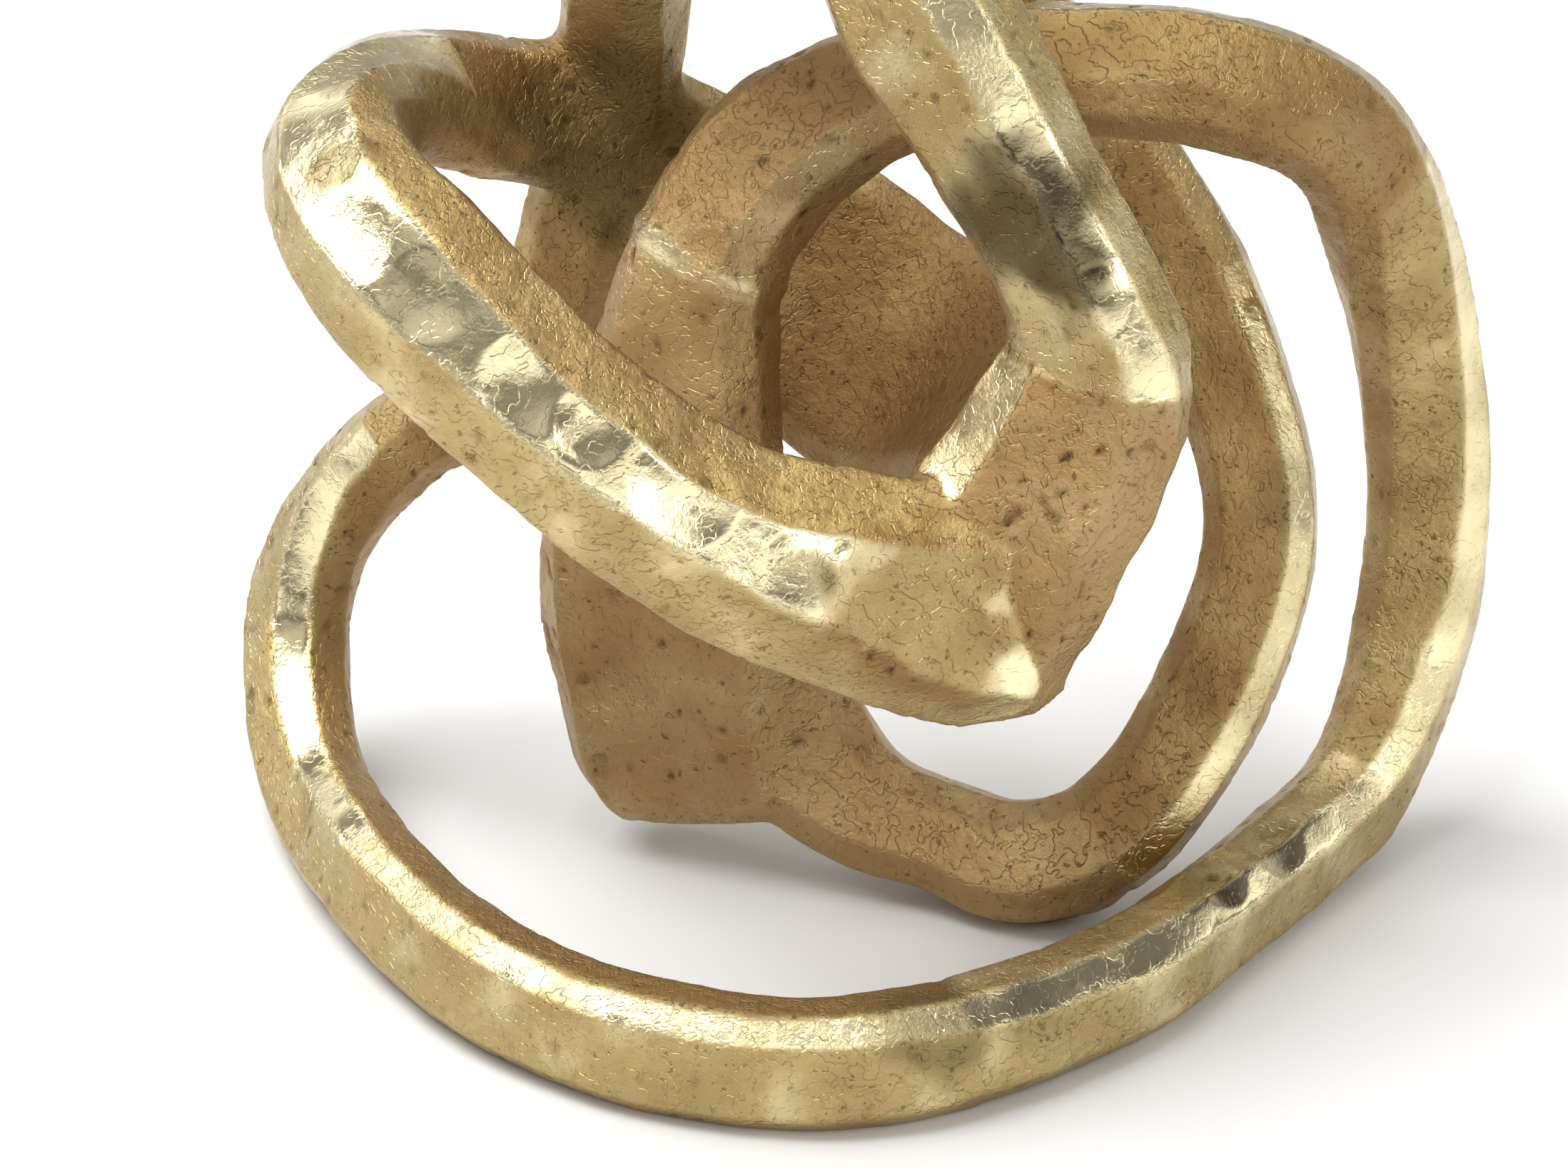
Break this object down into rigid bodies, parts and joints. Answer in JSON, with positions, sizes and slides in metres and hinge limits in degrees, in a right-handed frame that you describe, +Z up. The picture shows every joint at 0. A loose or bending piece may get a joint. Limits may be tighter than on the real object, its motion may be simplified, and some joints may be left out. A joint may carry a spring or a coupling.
{
  "type": "decorative knot ornament",
  "caption": "Free-standing interlaced knot of thick bevelled bar with a gilded finish: a tilted oval ring threaded by a long looping rope and a hooked end.",
  "frame": {"origin": "middle of the underside: the bottom centre of the bounding box, on the table", "axes": "+Z up; the front with the polished ring faces -Y; +X to the right seen from the front"},
  "size_m": [0.2256, 0.1488, 0.2128],
  "materials": {
    "polished_gilt": "polished cast metal, pale gold",
    "antique_gilt": "satin cast metal, brown gold"
  },
  "bodies": {
    "root": {"plate": "polished_gilt", "ring_back": "antique_gilt", "ring_wall": "antique_gilt", "lobe_back": "polished_gilt", "lobe_front": "polished_gilt", "ring_front": "polished_gilt", "rising_arm": "polished_gilt", "arch_right": "polished_gilt", "arch_left": "polished_gilt", "upper_drop": "antique_gilt", "lower_drop": "antique_gilt", "base_left": "polished_gilt", "base_front": "polished_gilt", "base_right": "polished_gilt", "side_sweep": "polished_gilt", "upper_arm": "polished_gilt", "centre_arm": "antique_gilt", "lower_lobe": "antique_gilt", "cradle": "antique_gilt", "right_arm": "antique_gilt", "tail": "antique_gilt", "centre_weld": "antique_gilt"}
  },
  "joints": []
}
